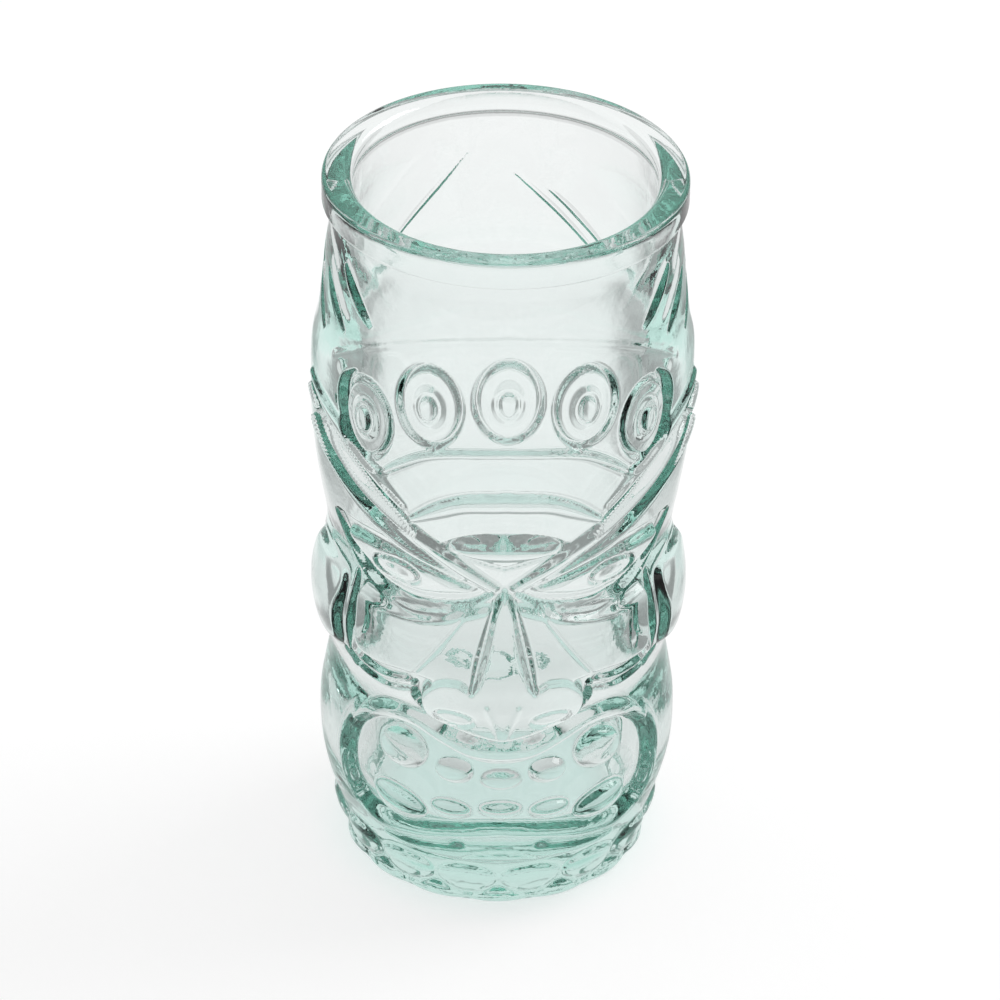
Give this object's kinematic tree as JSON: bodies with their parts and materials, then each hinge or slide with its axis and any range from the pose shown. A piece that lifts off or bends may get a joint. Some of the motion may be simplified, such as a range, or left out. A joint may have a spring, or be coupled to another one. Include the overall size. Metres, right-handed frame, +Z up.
{
  "type": "tiki tumbler",
  "caption": "Tall handleless drinking glass of pressed recycled glass with a carved tiki mask in relief on its front.",
  "frame": {"origin": "centre of the flat base, on the surface that the cup stands on", "axes": "+Z up along the axis of the cup, -Y out of the mask's face, +X to the viewer's right"},
  "size_m": [0.0832, 0.0827, 0.165],
  "materials": {
    "glass": "smooth pressed recycled glass, pale aqua, greener where it is thick"
  },
  "bodies": {
    "root": {"vessel": "glass", "crown_flutes": "glass", "headband_upper_border": "glass", "headband_discs": "glass", "headband_lower_border": "glass", "forehead_crescent": "glass", "forehead_lens": "glass", "brow_left": "glass", "brow_right": "glass", "eye_left": "glass", "eye_right": "glass", "nose": "glass", "cheek_left": "glass", "cheek_right": "glass", "ear_left": "glass", "ear_right": "glass", "upper_lip": "glass", "lower_lip": "glass", "teeth_upper": "glass", "teeth_lower": "glass", "chin": "glass", "foot_petals": "glass", "foot_arches": "glass"}
  },
  "joints": []
}
